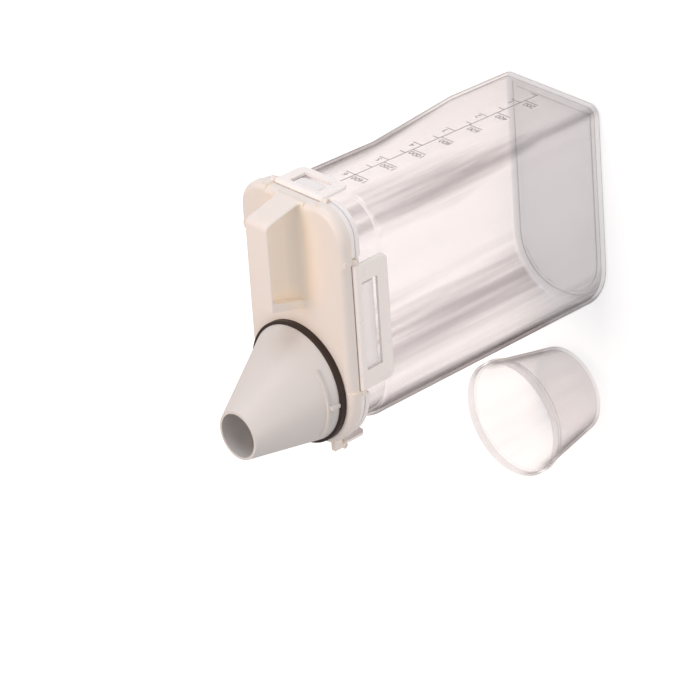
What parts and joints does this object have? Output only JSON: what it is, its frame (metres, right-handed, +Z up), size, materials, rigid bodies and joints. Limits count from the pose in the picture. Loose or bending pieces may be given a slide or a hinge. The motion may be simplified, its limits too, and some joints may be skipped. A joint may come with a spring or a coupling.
{
  "type": "food storage box",
  "caption": "Clear plastic food storage box with a white latched lid, a slanted pouring spout with a dark seal ring, a handle ridge and a separate clear measuring cup.",
  "frame": {"origin": "middle of the clear box's base, at the height that it stands on", "axes": "+Z up, +X from the handle end to the spout end, +Y towards the long side with the left latch"},
  "size_m": [0.2394, 0.0828, 0.2485],
  "materials": {
    "clear_plastic": "clear moulded plastic",
    "cup_plastic": "clear moulded plastic",
    "lid_plastic": "fine satin",
    "latch_plastic": "satin gloss",
    "spout_plastic": "fine satin",
    "seal_rubber": "matt silicone",
    "gasket_rubber": "matt silicone"
  },
  "bodies": {
    "box": {"container_body": "clear_plastic", "lid_shell": "lid_plastic", "lid_gasket": "gasket_rubber", "spout_cone": "spout_plastic", "spout_seal_ring": "seal_rubber"},
    "left_latch": {"latch_left": "latch_plastic"},
    "right_latch": {"latch_right": "latch_plastic"},
    "front_latch": {"latch_front": "latch_plastic"},
    "back_latch": {"latch_back": "latch_plastic"},
    "cup": {"measuring_cup": "cup_plastic"}
  },
  "joints": [
    {"name": "left_latch_hinge", "type": "hinge", "parent": "box", "child": "left_latch", "pos_m": [-0.0048, 0.0396, 0.1908], "axis": [1, 0, 0], "range_deg": [0, 115]},
    {"name": "right_latch_hinge", "type": "hinge", "parent": "box", "child": "right_latch", "pos_m": [-0.0048, -0.0396, 0.1908], "axis": [-1, 0, 0], "range_deg": [0, 115]},
    {"name": "front_latch_hinge", "type": "hinge", "parent": "box", "child": "front_latch", "pos_m": [0.0746, 0, 0.1908], "axis": [0, -1, 0], "range_deg": [0, 115]},
    {"name": "back_latch_hinge", "type": "hinge", "parent": "box", "child": "back_latch", "pos_m": [-0.0746, 0, 0.1908], "axis": [0, 1, 0], "range_deg": [0, 115]},
    {"name": "cup_lift", "type": "slide", "parent": "box", "child": "cup", "axis": [0, 0, 1], "range_m": [0, 0.12]}
  ]
}
